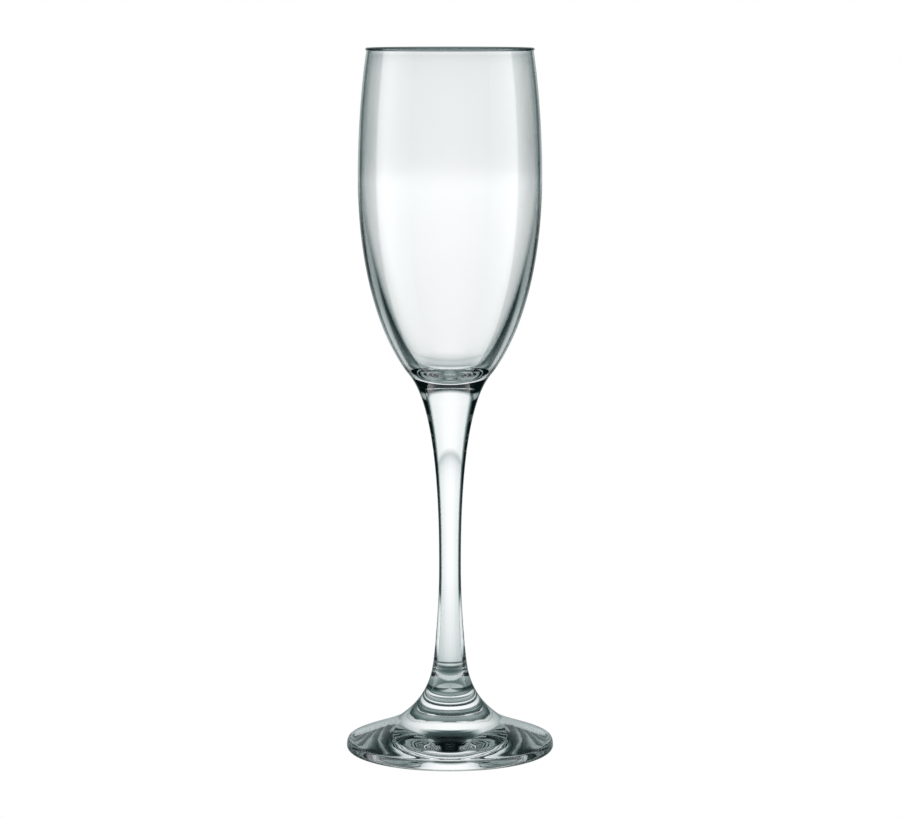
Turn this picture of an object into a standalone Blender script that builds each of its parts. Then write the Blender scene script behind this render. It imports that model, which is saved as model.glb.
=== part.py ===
"""Champagne flute of clear soda-lime glass, 225 mm tall and about 20 cl to the brim.

Three pieces of glass, fused end to end: a blown bowl with a fire-polished rim and a thick
base, a solid drawn stem, and a pressed foot that spreads from a trumpet into a thin disc.
Metres, +Z up. The origin is the middle of the ring on which the foot stands.
"""

import math

import bmesh
import bpy

MM = 0.001

# Heights above the table.
HEIGHT = 225.0 * MM
BULGE_HEIGHT = 184.0 * MM
NECK_HEIGHT = 120.9 * MM
BOWL_WELD_HEIGHT = 118.0 * MM
WAIST_HEIGHT = 59.0 * MM
FOOT_WELD_HEIGHT = 26.7 * MM
CREASE_HEIGHT = 9.85 * MM
EDGE_HEIGHT = 3.4 * MM

# Outer radii at those heights.
RIM_RADIUS = 26.3 * MM
BULGE_RADIUS = 29.15 * MM
NECK_RADIUS = 12.6 * MM
BOWL_WELD_RADIUS = 10.8 * MM
WAIST_RADIUS = 3.5 * MM
FOOT_WELD_RADIUS = 5.6 * MM
CREASE_RADIUS = 16.7 * MM
EDGE_RADIUS = 32.75 * MM
FOOT_RADIUS = 33.35 * MM

# The bowl's inside: a thin wall that thickens towards a rounded floor.
BEAD_WIDTH = 1.35 * MM
BEAD_DEPTH = 1.0 * MM
BEAD_OVERHANG = 0.35 * MM
RIM_WALL = 0.95 * MM
INNER_BULGE_RADIUS = 28.27 * MM
INNER_BULGE_HEIGHT = 184.0 * MM
WALL_END_RADIUS = 12.0 * MM
WALL_END_HEIGHT = 127.1 * MM
FLOOR_HEIGHT = 121.1 * MM

# The foot's underside: a flat ring that bears on the table round a shallow dome.
BEARING_OUTER_RADIUS = 32.15 * MM
BEARING_INNER_RADIUS = 30.0 * MM
DOME_HEIGHT = 2.4 * MM

# The leans of the outline, in degrees from straight down, positive where the glass spreads
# and negative where it narrows.
RIM_LEAN = 9.0
WALL_END_LEAN = -36.0
NECK_LEAN = -39.0
BOWL_WELD_LEAN = -27.0
STEM_END_LEAN = 10.5
TRUMPET_END_LEAN = 52.5
DISC_START_LEAN = 61.0
DISC_END_LEAN = 56.5

# The pieces are drawn this far apart at each weld.
WELD_GAP = 0.3 * MM

# Facets round the axis.
BOWL_SEGMENTS = 64
STEM_SEGMENTS = 40
FOOT_SEGMENTS = 64

SHARP_ANGLE = math.radians(35.0)


def flow(start, start_lean, start_pull, end, end_lean, end_pull, steps):
    """Points of a smooth outline down from start to end, as (radius, height), start left out."""
    leans = [math.radians(start_lean), math.radians(end_lean)]
    leave = (start[0] + start_pull * math.sin(leans[0]), start[1] - start_pull * math.cos(leans[0]))
    arrive = (end[0] - end_pull * math.sin(leans[1]), end[1] + end_pull * math.cos(leans[1]))
    points = []
    for step in range(1, steps + 1):
        t = step / steps
        weights = ((1 - t) ** 3, 3 * t * (1 - t) ** 2, 3 * t * t * (1 - t), t ** 3)
        corners = (start, leave, arrive, end)
        points.append(tuple(sum(w * c[axis] for w, c in zip(weights, corners)) for axis in (0, 1)))
    return points


def arc(centre, reach, rise, first, last, steps):
    """Points of an ellipse's arc round centre, between two angles in degrees from outward."""
    points = []
    for step in range(steps + 1):
        angle = math.radians(first + (last - first) * step / steps)
        points.append((centre[0] + reach * math.cos(angle), centre[1] + rise * math.sin(angle)))
    return points


def bowl_outline():
    """From the floor's middle up the inside, over the rim and down the outside to the weld."""
    bead_centre = (RIM_RADIUS + BEAD_OVERHANG - BEAD_WIDTH / 2, HEIGHT - BEAD_DEPTH / 2)
    inner_rim = (RIM_RADIUS - RIM_WALL, HEIGHT - BEAD_DEPTH)
    inner_bulge = (INNER_BULGE_RADIUS, INNER_BULGE_HEIGHT)
    wall_end = (WALL_END_RADIUS, WALL_END_HEIGHT)
    inside = [inner_rim]
    inside += flow(inner_rim, RIM_LEAN, 10.5 * MM, inner_bulge, 0, 8.0 * MM, 6)
    inside += flow(inner_bulge, 0, 21.7 * MM, wall_end, WALL_END_LEAN, 13.2 * MM, 14)
    inside += flow(wall_end, WALL_END_LEAN, 4.4 * MM, (0, FLOOR_HEIGHT), -90, 4.2 * MM, 8)

    outer_rim = (RIM_RADIUS, HEIGHT - BEAD_DEPTH)
    bulge = (BULGE_RADIUS, BULGE_HEIGHT)
    neck = (NECK_RADIUS, NECK_HEIGHT)
    base_radius = BOWL_WELD_RADIUS - WELD_GAP * math.tan(math.radians(BOWL_WELD_LEAN))
    base = (base_radius, BOWL_WELD_HEIGHT + WELD_GAP)
    outside = [outer_rim]
    outside += flow(outer_rim, RIM_LEAN, 12.0 * MM, bulge, 0, 12.0 * MM, 7)
    outside += flow(bulge, 0, 30.5 * MM, neck, NECK_LEAN, 14.5 * MM, 14)
    outside += flow(neck, NECK_LEAN, 1.0 * MM, base, BOWL_WELD_LEAN, 1.0 * MM, 2)

    bead = arc(bead_centre, BEAD_WIDTH / 2, BEAD_DEPTH / 2, 180, -45, 10)
    return inside[::-1] + bead + outside + [(0, base[1])]


def stem_outline():
    """From the top weld down the waisted side to the lower weld."""
    top = (BOWL_WELD_RADIUS, BOWL_WELD_HEIGHT)
    waist = (WAIST_RADIUS, WAIST_HEIGHT)
    end = (FOOT_WELD_RADIUS, FOOT_WELD_HEIGHT)
    side = [top]
    side += flow(top, BOWL_WELD_LEAN, 15.9 * MM, waist, 0, 12.4 * MM, 14)
    side += flow(waist, 0, 13.8 * MM, end, STEM_END_LEAN, 2.45 * MM, 8)
    return [(0, top[1])] + side + [(0, end[1])]


def foot_outline():
    """From the weld down the trumpet, over the disc and its rounded edge, and up the dome."""
    top_radius = FOOT_WELD_RADIUS + WELD_GAP * math.tan(math.radians(STEM_END_LEAN))
    top = (top_radius, FOOT_WELD_HEIGHT - WELD_GAP)
    crease = (CREASE_RADIUS, CREASE_HEIGHT)
    edge = (EDGE_RADIUS, EDGE_HEIGHT)
    edge_round = FOOT_RADIUS - BEARING_OUTER_RADIUS
    side = [top]
    side += flow(top, STEM_END_LEAN, 10.1 * MM, crease, TRUMPET_END_LEAN, 4.4 * MM, 10)
    side += flow(crease, DISC_START_LEAN, 6.0 * MM, edge, DISC_END_LEAN, 1.7 * MM, 5)
    side += flow(edge, DISC_END_LEAN, 0.5 * MM, (FOOT_RADIUS, edge_round), 0, 0.8 * MM, 3)
    side += arc((BEARING_OUTER_RADIUS, edge_round), edge_round, edge_round, 0, -90, 4)[1:]

    dome_rings = 6
    dome = []
    for ring in range(dome_rings + 1):
        share = 1 - ring / dome_rings
        dome.append((BEARING_INNER_RADIUS * share, DOME_HEIGHT * (1 - share * share)))
    return [(0, top[1])] + side + dome


def glass(name, tint, roughness):
    """Clear glass with a trace of iron green."""
    material = bpy.data.materials.new(name)
    material.use_nodes = True
    shader = material.node_tree.nodes["Principled BSDF"]
    shader.inputs["Base Color"].default_value = (*tint, 1.0)
    shader.inputs["Metallic"].default_value = 0.0
    shader.inputs["Roughness"].default_value = roughness
    shader.inputs["IOR"].default_value = 1.52
    shader.inputs["Transmission Weight"].default_value = 1.0
    return material


def turn(name, outline, segments, base_height, material, parent):
    """A solid of revolution about +Z, whose object stands at base_height."""
    mesh = bpy.data.meshes.new(name)
    shape = bmesh.new()
    corners = [shape.verts.new((radius, 0, height - base_height)) for radius, height in outline]
    edges = [shape.edges.new(pair) for pair in zip(corners, corners[1:])]
    bmesh.ops.spin(
        shape, geom=corners + edges, cent=(0, 0, 0), axis=(0, 0, 1),
        angle=math.tau, steps=segments, use_merge=True,
    )
    bmesh.ops.remove_doubles(shape, verts=shape.verts, dist=0.01 * MM)
    bmesh.ops.recalc_face_normals(shape, faces=shape.faces)
    shape.to_mesh(mesh)
    shape.free()
    mesh.shade_smooth()
    mesh.set_sharp_from_angle(angle=SHARP_ANGLE)
    mesh.materials.append(material)
    piece = bpy.data.objects.new(name, mesh)
    bpy.context.collection.objects.link(piece)
    piece.parent = parent
    piece.location = (0, 0, base_height)
    return piece


def main():
    for old in list(bpy.data.objects):
        bpy.data.objects.remove(old, do_unlink=True)
    flute = bpy.data.objects.new("flute", None)
    bpy.context.collection.objects.link(flute)

    bowl_glass = glass("bowl_glass", (0.93, 0.97, 0.96), 0.02)
    stem_glass = glass("stem_glass", (0.90, 0.95, 0.94), 0.02)
    foot_glass = glass("foot_glass", (0.88, 0.94, 0.93), 0.03)
    turn("bowl", bowl_outline(), BOWL_SEGMENTS, BOWL_WELD_HEIGHT, bowl_glass, flute)
    turn("stem", stem_outline(), STEM_SEGMENTS, FOOT_WELD_HEIGHT, stem_glass, flute)
    turn("foot", foot_outline(), FOOT_SEGMENTS, 0.0, foot_glass, flute)


main()
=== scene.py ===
"""Looks of the champagne flute: three pieces of clear glass, fused end to end.

The glass stands on a white table in a bright-field studio: a white field behind it, dark to
both sides, and white panels beyond them that show in reflections only, so that clear glass
shows by its dark edges. Those edges are partly the studio's and partly painted shade: the
glass's colour darkens where it turns away, with a painted dark line near the bowl's outline
and a rim painted dark. A line of sight that has crossed as many surfaces as the bowl's walls
have finds a pale surround where the studio is dark, so that the bowl looks clear from other
sides too. The camera sees plain white behind the glass.
"""

import math

import bpy
import numpy as np
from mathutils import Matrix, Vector


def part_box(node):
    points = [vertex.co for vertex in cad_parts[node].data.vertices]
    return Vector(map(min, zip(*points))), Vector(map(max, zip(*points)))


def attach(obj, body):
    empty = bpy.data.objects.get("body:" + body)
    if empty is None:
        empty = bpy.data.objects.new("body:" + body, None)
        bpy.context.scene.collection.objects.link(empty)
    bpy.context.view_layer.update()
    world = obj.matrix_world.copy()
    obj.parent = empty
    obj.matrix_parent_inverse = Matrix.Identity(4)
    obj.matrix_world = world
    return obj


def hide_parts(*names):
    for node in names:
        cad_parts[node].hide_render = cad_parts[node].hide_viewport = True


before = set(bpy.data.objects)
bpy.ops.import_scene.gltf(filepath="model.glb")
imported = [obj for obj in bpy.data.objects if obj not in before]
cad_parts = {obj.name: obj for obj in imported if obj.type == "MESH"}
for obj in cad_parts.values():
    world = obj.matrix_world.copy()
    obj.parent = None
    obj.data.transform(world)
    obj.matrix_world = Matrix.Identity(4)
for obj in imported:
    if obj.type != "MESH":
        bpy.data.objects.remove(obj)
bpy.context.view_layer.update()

MM = 0.001

bowl_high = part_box("bowl")[1]
stem_low, stem_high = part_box("stem")
foot_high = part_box("foot")[1]

# Heights above the table.
HEIGHT = bowl_high.z
BULGE_HEIGHT = 184.0 * MM
NECK_HEIGHT = 120.9 * MM
BOWL_WELD_HEIGHT = stem_high.z
WAIST_HEIGHT = 59.0 * MM
FOOT_WELD_HEIGHT = stem_low.z
CREASE_HEIGHT = 9.85 * MM
EDGE_HEIGHT = 3.4 * MM

# Outer radii at those heights.
RIM_RADIUS = 26.3 * MM
BULGE_RADIUS = bowl_high.x
NECK_RADIUS = 12.6 * MM
BOWL_WELD_RADIUS = stem_high.x
WAIST_RADIUS = 3.5 * MM
FOOT_WELD_RADIUS = 5.6 * MM
CREASE_RADIUS = 16.7 * MM
EDGE_RADIUS = 32.75 * MM
FOOT_RADIUS = foot_high.x

# The bowl's inside: a thin wall that thickens towards a rounded floor, under a rounded bead.
BEAD_WIDTH = 1.35 * MM
BEAD_DEPTH = 1.0 * MM
BEAD_OVERHANG = 0.35 * MM
BEAD_ENDS = (180.0, -45.0)
RIM_WALL = 0.95 * MM
INNER_BULGE_RADIUS = 28.27 * MM
INNER_BULGE_HEIGHT = 184.0 * MM
WALL_END_RADIUS = 12.0 * MM
WALL_END_HEIGHT = 127.1 * MM
FLOOR_HEIGHT = 121.1 * MM

# The foot's underside: a flat ring that bears on the table round a shallow dome.
BEARING_OUTER_RADIUS = 32.15 * MM
BEARING_INNER_RADIUS = 30.0 * MM
DOME_HEIGHT = 2.4 * MM

# The leans of the outline, in degrees from straight down, positive where the glass spreads
# and negative where it narrows.
RIM_LEAN = 9.0
WALL_END_LEAN = -36.0
FLOOR_LEAN = -90.0
NECK_LEAN = -39.0
BOWL_WELD_LEAN = -27.0
STEM_END_LEAN = 10.5
TRUMPET_END_LEAN = 52.5
DISC_START_LEAN = 61.0
DISC_END_LEAN = 56.5

# Stretches of the outline: how far each holds its lean at its start and at its end, and how
# many rows of faces it has.
INNER_RIM_STRETCH = (10.5 * MM, 8.0 * MM, 24)
INNER_WALL_STRETCH = (21.7 * MM, 13.2 * MM, 56)
FLOOR_STRETCH = (4.4 * MM, 4.2 * MM, 40)
OUTER_RIM_STRETCH = (12.0 * MM, 12.0 * MM, 28)
OUTER_WALL_STRETCH = (30.5 * MM, 14.5 * MM, 56)
BASE_STRETCH = (1.0 * MM, 1.0 * MM, 8)
STEM_TOP_STRETCH = (15.9 * MM, 12.4 * MM, 70)
STEM_END_STRETCH = (13.8 * MM, 2.45 * MM, 120)
TRUMPET_STRETCH = (10.1 * MM, 4.4 * MM, 90)
DISC_STRETCH = (6.0 * MM, 1.7 * MM, 30)
EDGE_STRETCH = (0.5 * MM, 0.8 * MM, 10)
BEAD_ROWS = 20
EDGE_ROUND_ROWS = 14
DOME_ROWS = 119
SEGMENTS = 256
SHARP_ANGLE = math.radians(40)

# A point of an outline nearer the axis than this is on it.
ON_AXIS = 1e-9

# The welded faces lie this far either side of the weld, so that neither hides the other.
WELD_FILM = 0.01 * MM

# Marks of making: a ridge round the lower weld, two seams of the mould that fade out down the
# stem, and rings pressed into the foot's dome.
RIDGE_HEIGHT = 0.05 * MM
RIDGE_WIDTH = 0.4 * MM
SEAM_HEIGHT = 0.05 * MM
SEAM_WIDTH = 0.3 * MM
SEAM_ANGLES = (math.radians(-140.0), math.radians(40.0))
SEAM_END_HEIGHT = 62.0 * MM
SEAM_FADE = 30.0 * MM
RIPPLE_DEPTH = 0.003 * MM
RIPPLE_PITCH = 2.6 * MM

# Each mesh's material slots. Only the bowl has the last two.
OUTSIDE, WELD, INSIDE, RIM = range(4)

# Clear soda-lime glass. The tint runs in streaks between a deeper and a paler batch, as
# powers of it. Where the painted edge shade and the studio's light are grey they are greener
# too: red falls off as a power of green and blue.
GLASS_IOR = 1.52
TINTS = {"bowl": (0.985, 0.993, 0.993), "stem": (0.96, 0.985, 0.985), "foot": (0.95, 0.98, 0.98)}
DEEPER_BATCH = 1.25
PALER_BATCH = 0.75
GREEN = 1.165

# Streaks, haze and waves in the glass: features to the metre, and detail. Roughness rises
# from none to HAZE_ROUGHNESS as the haze's noise climbs from HAZE_START to HAZE_FULL.
CORDS = (45.0, 2.0)
HAZE = (900.0, 4.0)
WAVES = (60.0, 1.0)
HAZE_ROUGHNESS = 0.006
HAZE_START = 0.45
HAZE_FULL = 0.75
WAVE_HEIGHT = 0.01 * MM

# Painted edge shade: how much light the glass lets through and reflects, set in its colour,
# against how far it turns away, from 0, facing, to 1, glancing, so that its edges show dark.
# The bowl's outside has a painted dark line just inside its outline, and the bowl's rim is
# painted dark all over.
BOWL_PAINTED_EDGE_SHADE = (
    (0.0, 1.0), (0.25, 0.95), (0.45, 0.86), (0.55, 0.8), (0.62, 0.74), (0.68, 0.6),
    (0.72, 0.2), (0.745, 0.03), (0.78, 0.06), (0.82, 0.35), (1.0, 0.35),
)
INSIDE_PAINTED_EDGE_SHADE = (
    (0.0, 1.0), (0.4, 0.95), (0.6, 0.85), (0.7, 0.7), (0.8, 0.3), (0.9, 0.05), (1.0, 0.02),
)
RIM_PAINTED_SHADE = ((0.0, 0.3), (0.5, 0.12), (0.8, 0.03), (1.0, 0.02))
STEM_PAINTED_EDGE_SHADE = ((0.0, 1.0), (0.5, 0.95), (0.62, 0.75), (0.74, 0.3), (0.85, 0.1), (1.0, 0.05))
FOOT_PAINTED_EDGE_SHADE = ((0.0, 1.0), (0.5, 0.93), (0.7, 0.7), (0.85, 0.3), (1.0, 0.12))

# The studio, as stops of (degrees, level). Across is the angle to either side of straight
# behind the glass, and up is the angle above level. The white field behind the glass:
FIELD_LEVEL = 1.12
FIELD_ACROSS = ((0, 1.0), (14, 0.95), (26, 0.80), (35, 0.66), (42, 0.12), (50, 0.0))
FIELD_UP = (
    (-60, 0.0), (-24, 0.0), (-21.5, 0.55), (-17, 0.8), (-11, 0.98), (-4, 1.0), (-2.2, 0.93),
    (-1.5, 0.86), (-1.14, 0.78), (-0.95, 0.69), (-0.7, 0.6), (-0.4, 0.6), (0.4, 1.0),
    (26, 1.0), (36, 0.1), (50, 0.0),
)
# The room to both sides and in front:
SIDES_LEVEL = 0.5
SIDES_ACROSS = ((66, 0.0), (84, 1.0), (180, 0.8))
SIDES_UP = (
    (-90, 1.1), (-66, 1.1), (-62, 0.4), (-45, 0.5), (-28, 0.85), (-8, 1.0), (4, 0.8),
    (12, 0.05), (20, 0.0),
)
# The table behind the glass:
TABLE_LEVEL = 0.42
TABLE_ACROSS = ((24, 1.0), (42, 0.3), (50, 0.2), (74, 0.0))
TABLE_UP = (
    (-90, 1.4), (-66, 1.4), (-62, 0.5), (-44, 0.8), (-36, 1.0), (-30, 0.3), (-25, 0.2),
    (-22, 0.0),
)
# What is left in the dark:
DARK_LEVEL = 0.006

# Reflections show the studio dimmed, with a white panel to each side. The right-hand panel
# starts further round.
MIRRORED_ACROSS = (
    (0, 0.5), (20, 0.4), (27, 0.1), (60, 0.1), (70, 0.5), (150, 0.8), (180, 0.8),
)
PANEL_LEVEL = 3.0
PANEL_ACROSS = (
    (74, 0.0), (77, 0.85), (90, 1.0), (100, 0.75), (112, 0.4), (120, 0.22), (126, 0.18),
    (127, 0.0),
)
PANEL_UP = ((-70, 0.0), (-50, 1.0), (17, 1.0), (22, 0.0))
RIGHT_PANEL_START = (84.0, 88.0)

# The pale surround, for a line of sight that has crossed as many surfaces as both walls of the
# bowl have, or as one wall has where WALL_UP lets it. It lies around the field, beyond
# AROUND_START, and below, at BELOW_UP, where one wall is enough only under WALL_BELOW_START.
BOWL_SURFACES = 4.0
WALL_SURFACES = 2.0
HALF = 0.5
AROUND_START = (34.0, 44.0)
BELOW_LEVEL = 0.75
BELOW_UP = (
    (-90, 1.33), (-50, 1.33), (-43, 0.7), (-36, 0.7), (-24, 1.0), (-21, 1.0), (-18, 0.0),
)
WALL_UP = (
    (-90, 1.0), (-50, 1.0), (-45, 0.0), (-22, 0.0), (-20, 1.0), (-16, 1.0), (-14, 0.0),
)
WALL_BELOW_START = -45.0

# The range of the ramps over degrees.
LOWEST = -90.0
HIGHEST = 180.0

FLOOR_HALF_WIDTH = 3.0
FLOOR_DROP = 0.2 * MM

CAMERA_SENSOR = 36.0
CAMERA_LENS = 123.8
CAMERA_PLACE = Vector((0, -0.980, 0.2345))
CAMERA_TARGET = Vector((0, 0, 0.11037))

BOUNCES = 32


def flow(start, start_lean, end, end_lean, stretch):
    """Points of a smooth outline down from start to end, as (radius, height), start left out."""
    start_pull, end_pull, rows = stretch
    leave, arrive = math.radians(start_lean), math.radians(end_lean)
    corners = np.array([
        start,
        (start[0] + start_pull * math.sin(leave), start[1] - start_pull * math.cos(leave)),
        (end[0] - end_pull * math.sin(arrive), end[1] + end_pull * math.cos(arrive)),
        end,
    ])
    t = np.linspace(0, 1, rows + 1)[1:, None]
    weights = np.hstack([(1 - t) ** 3, 3 * t * (1 - t) ** 2, 3 * t * t * (1 - t), t ** 3])
    return [tuple(point) for point in weights @ corners]


def arc(centre, reach, rise, ends, rows):
    """Points of an ellipse's arc round centre, between two angles in degrees from outward."""
    angles = np.radians(np.linspace(*ends, rows + 1))
    return [(centre[0] + reach * math.cos(a), centre[1] + rise * math.sin(a)) for a in angles]


def bowl_outline():
    """From the floor's middle up the inside, over the rim and down the outside to the weld.

    Like the other outlines, it comes with the material slot of each row of faces.
    """
    bead_centre = (RIM_RADIUS + BEAD_OVERHANG - BEAD_WIDTH / 2, HEIGHT - BEAD_DEPTH / 2)
    inner_rim = (RIM_RADIUS - RIM_WALL, HEIGHT - BEAD_DEPTH)
    inner_bulge = (INNER_BULGE_RADIUS, INNER_BULGE_HEIGHT)
    wall_end = (WALL_END_RADIUS, WALL_END_HEIGHT)
    floor = (0, FLOOR_HEIGHT)
    inside = [inner_rim]
    inside += flow(inner_rim, RIM_LEAN, inner_bulge, 0, INNER_RIM_STRETCH)
    inside += flow(inner_bulge, 0, wall_end, WALL_END_LEAN, INNER_WALL_STRETCH)
    inside += flow(wall_end, WALL_END_LEAN, floor, FLOOR_LEAN, FLOOR_STRETCH)

    outer_rim = (RIM_RADIUS, HEIGHT - BEAD_DEPTH)
    bulge = (BULGE_RADIUS, BULGE_HEIGHT)
    neck = (NECK_RADIUS, NECK_HEIGHT)
    base = (BOWL_WELD_RADIUS, BOWL_WELD_HEIGHT + WELD_FILM)
    outside = [outer_rim]
    outside += flow(outer_rim, RIM_LEAN, bulge, 0, OUTER_RIM_STRETCH)
    outside += flow(bulge, 0, neck, NECK_LEAN, OUTER_WALL_STRETCH)
    outside += flow(neck, NECK_LEAN, base, BOWL_WELD_LEAN, BASE_STRETCH)

    bead = arc(bead_centre, BEAD_WIDTH / 2, BEAD_DEPTH / 2, BEAD_ENDS, BEAD_ROWS)
    slots = [INSIDE] * (len(inside) - 1) + [RIM] * (len(bead) + 1)
    slots += [OUTSIDE] * (len(outside) - 1) + [WELD]
    return inside[::-1] + bead + outside + [(0, base[1])], slots


def stem_outline():
    """From the top weld down the waisted side to the lower weld."""
    top = (BOWL_WELD_RADIUS, BOWL_WELD_HEIGHT - WELD_FILM)
    waist = (WAIST_RADIUS, WAIST_HEIGHT)
    end = (FOOT_WELD_RADIUS, FOOT_WELD_HEIGHT + WELD_FILM)
    side = [top]
    side += flow(top, BOWL_WELD_LEAN, waist, 0, STEM_TOP_STRETCH)
    side += flow(waist, 0, end, STEM_END_LEAN, STEM_END_STRETCH)
    slots = [WELD] + [OUTSIDE] * (len(side) - 1) + [WELD]
    return [(0, top[1])] + side + [(0, end[1])], slots


def foot_outline():
    """From the weld down the trumpet, over the disc and its rounded edge, and up the dome."""
    top = (FOOT_WELD_RADIUS, FOOT_WELD_HEIGHT - WELD_FILM)
    crease = (CREASE_RADIUS, CREASE_HEIGHT)
    edge = (EDGE_RADIUS, EDGE_HEIGHT)
    edge_round = FOOT_RADIUS - BEARING_OUTER_RADIUS
    widest = (FOOT_RADIUS, edge_round)
    side = [top]
    side += flow(top, STEM_END_LEAN, crease, TRUMPET_END_LEAN, TRUMPET_STRETCH)
    side += flow(crease, DISC_START_LEAN, edge, DISC_END_LEAN, DISC_STRETCH)
    side += flow(edge, DISC_END_LEAN, widest, 0, EDGE_STRETCH)
    edge_centre = (BEARING_OUTER_RADIUS, edge_round)
    side += arc(edge_centre, edge_round, edge_round, (0, -90), EDGE_ROUND_ROWS)[1:]

    dome = []
    for share in np.linspace(1, 0, DOME_ROWS + 1):
        radius = BEARING_INNER_RADIUS * share
        ripple = RIPPLE_DEPTH * math.sin(math.tau * radius / RIPPLE_PITCH) * (1 - share ** 4)
        dome.append((radius, DOME_HEIGHT * (1 - share * share) + ripple))
    slots = [WELD] + [OUTSIDE] * (len(side) + len(dome) - 1)
    return [(0, top[1])] + side + dome, slots


def bell(distance, width):
    """1 at no distance, falling smoothly to nearly 0 at twice the width."""
    return np.exp(-(distance / width) ** 2)


def no_relief(radius, height, angles):
    """How far a smooth surface stands proud: nowhere."""
    return np.zeros_like(angles)


def ridge_relief(radius, height, angles):
    """How far the ridge round the lower weld stands proud, round the ring at one height."""
    ridge = RIDGE_HEIGHT * bell(height - FOOT_WELD_HEIGHT, RIDGE_WIDTH)
    return np.full_like(angles, ridge)


def stem_relief(radius, height, angles):
    """How far the stem's ridge and seams stand proud, round the ring at one height."""
    fade = min(1.0, max(0.0, (height - SEAM_END_HEIGHT) / SEAM_FADE))
    proud = ridge_relief(radius, height, angles)
    for seam in SEAM_ANGLES:
        turn_away = np.angle(np.exp(1j * (angles - seam)))
        proud += SEAM_HEIGHT * fade * bell(turn_away * radius, SEAM_WIDTH)
    return proud


def turn(name, outline, slots, relief, materials):
    """A closed solid of revolution, with relief on it and a material slot for each row."""
    angles = np.linspace(0, math.tau, SEGMENTS, endpoint=False)
    points = []
    rings = []
    for radius, height in outline:
        if radius < ON_AXIS:
            rings.append([len(points)] * SEGMENTS)
            points.append((0.0, 0.0, height))
            continue
        rings.append(list(range(len(points), len(points) + SEGMENTS)))
        reach = radius + relief(radius, height, angles)
        points += [(r * math.cos(a), r * math.sin(a), height) for r, a in zip(reach, angles)]
    faces = []
    for upper, lower in zip(rings, rings[1:]):
        for i in range(SEGMENTS):
            j = (i + 1) % SEGMENTS
            faces.append(tuple(dict.fromkeys((upper[i], lower[i], lower[j], upper[j]))))
    mesh = bpy.data.meshes.new(name)
    mesh.from_pydata(points, [], faces)
    for material in materials:
        mesh.materials.append(material)
    face_slots = [slot for slot in slots for _ in range(SEGMENTS)]
    mesh.polygons.foreach_set("material_index", face_slots)
    mesh.shade_smooth()
    mesh.set_sharp_from_angle(angle=SHARP_ANGLE)
    mesh.validate()
    piece = bpy.data.objects.new(name, mesh)
    bpy.context.scene.collection.objects.link(piece)
    return piece


class Nodes:
    """Short calls for building one node tree."""

    def __init__(self, tree):
        self.tree = tree

    def add(self, kind, **settings):
        """A new node with its settings."""
        node = self.tree.nodes.new(kind)
        for key, value in settings.items():
            setattr(node, key, value)
        return node

    def put(self, socket, value):
        """Link another node's output to the socket, or set the socket to a plain value."""
        if isinstance(value, bpy.types.NodeSocket):
            self.tree.links.new(value, socket)
        else:
            socket.default_value = value

    def math(self, operation, *values):
        """The result of one math operation."""
        node = self.add("ShaderNodeMath", operation=operation)
        for socket, value in zip(node.inputs, values):
            self.put(socket, value)
        return node.outputs[0]

    def rise(self, value, low, high):
        """0 below low, 1 above high, and smooth between."""
        node = self.add("ShaderNodeMapRange", interpolation_type="SMOOTHSTEP")
        for socket, entry in zip(node.inputs, (value, low, high, 0.0, 1.0)):
            self.put(socket, entry)
        return node.outputs[0]

    def noise(self, place, scale, detail):
        """Smooth noise from 0 to 1, with scale features to the metre."""
        node = self.add("ShaderNodeTexNoise")
        self.put(node.inputs["Vector"], place)
        node.inputs["Scale"].default_value = scale
        node.inputs["Detail"].default_value = detail
        return node.outputs["Fac"]

    def grade(self, share, stops):
        """The colour between (share, colour) stops, from 0 to 1."""
        node = self.add("ShaderNodeValToRGB")
        self.put(node.inputs[0], share)
        points = node.color_ramp.elements
        while len(points) > 1:
            points.remove(points[-1])
        for number, (place, colour) in enumerate(stops):
            point = points[0] if number == 0 else points.new(place)
            point.position = place
            point.color = (*colour, 1)
        return node.outputs["Color"]

    def ramp(self, degrees, stops):
        """The grey between (degrees, grey) stops."""
        span = HIGHEST - LOWEST
        share = self.math("DIVIDE", self.math("SUBTRACT", degrees, LOWEST), span)
        return self.grade(share, [((angle - LOWEST) / span, (grey,) * 3) for angle, grey in stops])

    def product(self, first, *others):
        """All of the values multiplied together."""
        for other in others:
            first = self.math("MULTIPLY", first, other)
        return first

    def swap(self, usual, other, share):
        """The usual value where share is 0, and the other where it is 1."""
        return self.math("ADD", usual, self.product(self.math("SUBTRACT", other, usual), share))


def tint_and_painted_edge_shade(n, place, tint, painted_edge_shade):
    """The tint in streaks, with painted edge shade: darker and greener where seen at a glancing
    angle.
    """
    facing = n.add("ShaderNodeLayerWeight")
    facing.inputs["Blend"].default_value = 0.5
    # Painted edge shade: a grey by facing, its red lowered so that the shade is greener.
    stops = [(share, (grey ** GREEN, grey, grey)) for share, grey in painted_edge_shade]
    batch = n.add("ShaderNodeMix", data_type="RGBA", blend_type="MIX")
    n.put(batch.inputs["Factor"], n.noise(place, *CORDS))
    n.put(batch.inputs[6], (*(value ** DEEPER_BATCH for value in tint), 1))
    n.put(batch.inputs[7], (*(value ** PALER_BATCH for value in tint), 1))
    colour = n.add("ShaderNodeMix", data_type="RGBA", blend_type="MULTIPLY")
    n.put(colour.inputs["Factor"], 1.0)
    n.put(colour.inputs[6], batch.outputs[2])
    n.put(colour.inputs[7], n.grade(facing.outputs["Facing"], stops))
    return colour.outputs[2]


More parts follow.
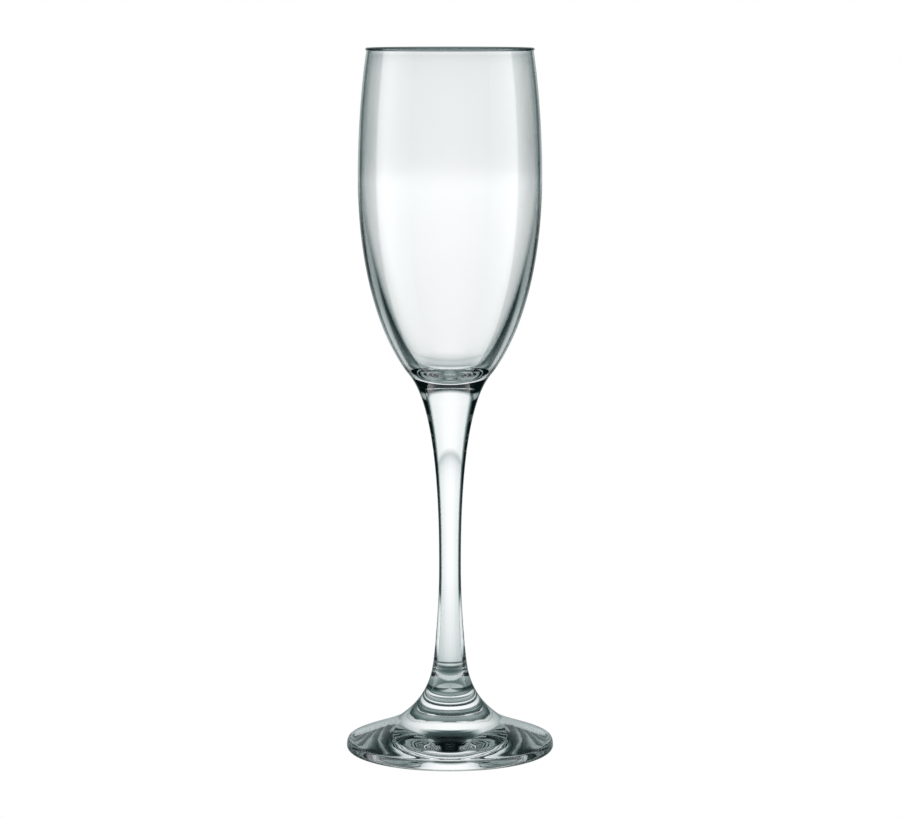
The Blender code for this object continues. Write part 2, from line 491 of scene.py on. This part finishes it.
def glass(name, tint, painted_edge_shade):
    """Clear glass with streaks, painted edge shade, a trace of haze and faint waves."""
    material = bpy.data.materials.new(name)
    material.use_nodes = True
    n = Nodes(material.node_tree)
    shader = material.node_tree.nodes["Principled BSDF"]
    shader.inputs["IOR"].default_value = GLASS_IOR
    shader.inputs["Transmission Weight"].default_value = 1.0
    place = n.add("ShaderNodeTexCoord").outputs["Object"]
    n.put(shader.inputs["Base Color"], tint_and_painted_edge_shade(n, place, tint, painted_edge_shade))
    haze = n.rise(n.noise(place, *HAZE), HAZE_START, HAZE_FULL)
    n.put(shader.inputs["Roughness"], n.product(haze, HAZE_ROUGHNESS))
    waves = n.add("ShaderNodeBump")
    waves.inputs["Strength"].default_value = 1.0
    waves.inputs["Distance"].default_value = WAVE_HEIGHT
    n.put(waves.inputs["Height"], n.noise(place, *WAVES))
    n.put(shader.inputs["Normal"], waves.outputs["Normal"])
    return material


def fused():
    """A welded face inside the glass, which isn't seen."""
    material = bpy.data.materials.new("weld")
    material.use_nodes = True
    material.node_tree.nodes.clear()
    n = Nodes(material.node_tree)
    clear = n.add("ShaderNodeBsdfTransparent")
    out = n.add("ShaderNodeOutputMaterial")
    n.put(out.inputs["Surface"], clear.outputs[0])
    return material


def build_glass():
    """The three pieces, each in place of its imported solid."""
    weld = fused()
    for node, (outline, slots), painted_edge_shade, relief in (
        ("bowl", bowl_outline(), BOWL_PAINTED_EDGE_SHADE, no_relief),
        ("stem", stem_outline(), STEM_PAINTED_EDGE_SHADE, stem_relief),
        ("foot", foot_outline(), FOOT_PAINTED_EDGE_SHADE, ridge_relief),
    ):
        materials = [glass(f"{node}_glass", TINTS[node], painted_edge_shade), weld]
        # Each piece's glass gets painted edge shade; the bowl's inside and rim get their own, the
        # rim painted dark all over.
        if node == "bowl":
            materials.append(glass("bowl_inside_painted_shade", TINTS[node], INSIDE_PAINTED_EDGE_SHADE))
            materials.append(glass("bowl_rim_painted_shade", TINTS[node], RIM_PAINTED_SHADE))
        piece = turn(f"{node}_visual", outline, slots, relief, materials)
        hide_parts(node)
        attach(piece, "root")


def build_floor():
    """A plain white floor, which the camera sees and the glass doesn't."""
    half = FLOOR_HALF_WIDTH
    corners = [(-half, -half, 0), (half, -half, 0), (half, half, 0), (-half, half, 0)]
    mesh = bpy.data.meshes.new("floor")
    mesh.from_pydata(corners, [], [(0, 1, 2, 3)])
    floor = bpy.data.objects.new("floor", mesh)
    floor.location.z = -FLOOR_DROP
    bpy.context.scene.collection.objects.link(floor)
    material = bpy.data.materials.new("floor")
    material.use_nodes = True
    material.node_tree.nodes.clear()
    n = Nodes(material.node_tree)
    glow = n.add("ShaderNodeEmission")
    glow.inputs["Color"].default_value = (1, 1, 1, 1)
    glow.inputs["Strength"].default_value = 1.0
    out = n.add("ShaderNodeOutputMaterial")
    n.put(out.inputs["Surface"], glow.outputs[0])
    mesh.materials.append(material)
    floor.visible_transmission = False
    floor.visible_glossy = False
    floor.visible_diffuse = False
    floor.visible_shadow = False


def studio_level(n, across, up):
    """The light of the field, the room, the table and the dark."""
    field = n.product(n.ramp(across, FIELD_ACROSS), n.ramp(up, FIELD_UP), FIELD_LEVEL)
    sides = n.product(n.ramp(across, SIDES_ACROSS), n.ramp(up, SIDES_UP), SIDES_LEVEL)
    table = n.product(n.ramp(across, TABLE_ACROSS), n.ramp(up, TABLE_UP), TABLE_LEVEL)
    level = n.math("ADD", n.math("ADD", field, sides), table)
    return n.math("ADD", level, DARK_LEVEL)


def mirrored_level(n, level, across, up, x):
    """The studio as reflections show it: dimmed, with the panels."""
    on_left = n.math("LESS_THAN", x, 0.0)
    start = n.math("MAXIMUM", n.rise(across, *RIGHT_PANEL_START), on_left)
    panels = n.product(n.ramp(across, PANEL_ACROSS), n.ramp(up, PANEL_UP), start, PANEL_LEVEL)
    return n.math("ADD", n.product(level, n.ramp(across, MIRRORED_ACROSS)), panels)


def add_surround(n, level, across, up, path):
    """The level, raised to the pale surround for lines of sight straight through the bowl."""
    crossed = path["Transmission Depth"]
    both_walls = n.math("COMPARE", crossed, BOWL_SURFACES, HALF)
    one_wall = n.product(n.math("COMPARE", crossed, WALL_SURFACES, HALF), n.ramp(up, WALL_UP))
    unreflected = n.math("LESS_THAN", path["Glossy Depth"], HALF)
    straight = n.product(n.math("MAXIMUM", both_walls, one_wall), unreflected)
    well_below = n.math("MAXIMUM", both_walls, n.math("LESS_THAN", up, WALL_BELOW_START))
    below = n.product(n.ramp(up, BELOW_UP), BELOW_LEVEL, well_below)
    around = n.rise(across, *AROUND_START)
    lit = n.math("MAXIMUM", level, n.math("MAXIMUM", around, below))
    return n.swap(level, lit, straight)


def build_world():
    """The studio for light in the glass, and plain white for the camera."""
    world = bpy.data.worlds.new("studio")
    bpy.context.scene.world = world
    world.use_nodes = True
    world.node_tree.nodes.clear()
    n = Nodes(world.node_tree)
    split = n.add("ShaderNodeSeparateXYZ")
    n.put(split.inputs[0], n.add("ShaderNodeTexCoord").outputs["Generated"])
    x, y, z = split.outputs
    across = n.math("ABSOLUTE", n.math("DEGREES", n.math("ARCTAN2", x, y)))
    up = n.math("DEGREES", n.math("ARCSINE", z))
    path = n.add("ShaderNodeLightPath").outputs

    level = studio_level(n, across, up)
    level = n.swap(level, mirrored_level(n, level, across, up, x), path["Is Reflection Ray"])
    level = add_surround(n, level, across, up, path)
    red = n.math("MINIMUM", n.math("POWER", level, GREEN), level)
    colour = n.add("ShaderNodeCombineColor")
    for socket, value in zip(colour.inputs, (red, level, level)):
        n.put(socket, value)
    studio = n.add("ShaderNodeBackground")
    n.put(studio.inputs["Color"], colour.outputs[0])
    plain = n.add("ShaderNodeBackground")
    plain.inputs["Color"].default_value = (1, 1, 1, 1)
    mix = n.add("ShaderNodeMixShader")
    n.put(mix.inputs[0], path["Is Camera Ray"])
    n.put(mix.inputs[1], studio.outputs[0])
    n.put(mix.inputs[2], plain.outputs[0])
    out = n.add("ShaderNodeOutputWorld")
    n.put(out.inputs["Surface"], mix.outputs[0])


def build_camera():
    """The camera, in front of the glass and a little above its rim."""
    camera_data = bpy.data.cameras.new("camera")
    camera_data.sensor_width = CAMERA_SENSOR
    camera_data.lens = CAMERA_LENS
    camera = bpy.data.objects.new("camera", camera_data)
    bpy.context.scene.collection.objects.link(camera)
    camera.location = CAMERA_PLACE
    sight = CAMERA_TARGET - CAMERA_PLACE
    camera.rotation_euler = sight.to_track_quat("-Z", "Y").to_euler()
    bpy.context.scene.camera = camera


def settings():
    """Enough bounces for light to find its way out of thick glass, and true whites."""
    scene = bpy.context.scene
    scene.view_settings.view_transform = "Standard"
    scene.cycles.max_bounces = BOUNCES
    scene.cycles.transmission_bounces = BOUNCES
    scene.cycles.glossy_bounces = BOUNCES
    scene.cycles.transparent_max_bounces = BOUNCES
    scene.cycles.use_denoising = True


build_glass()
build_floor()
build_world()
build_camera()
settings()
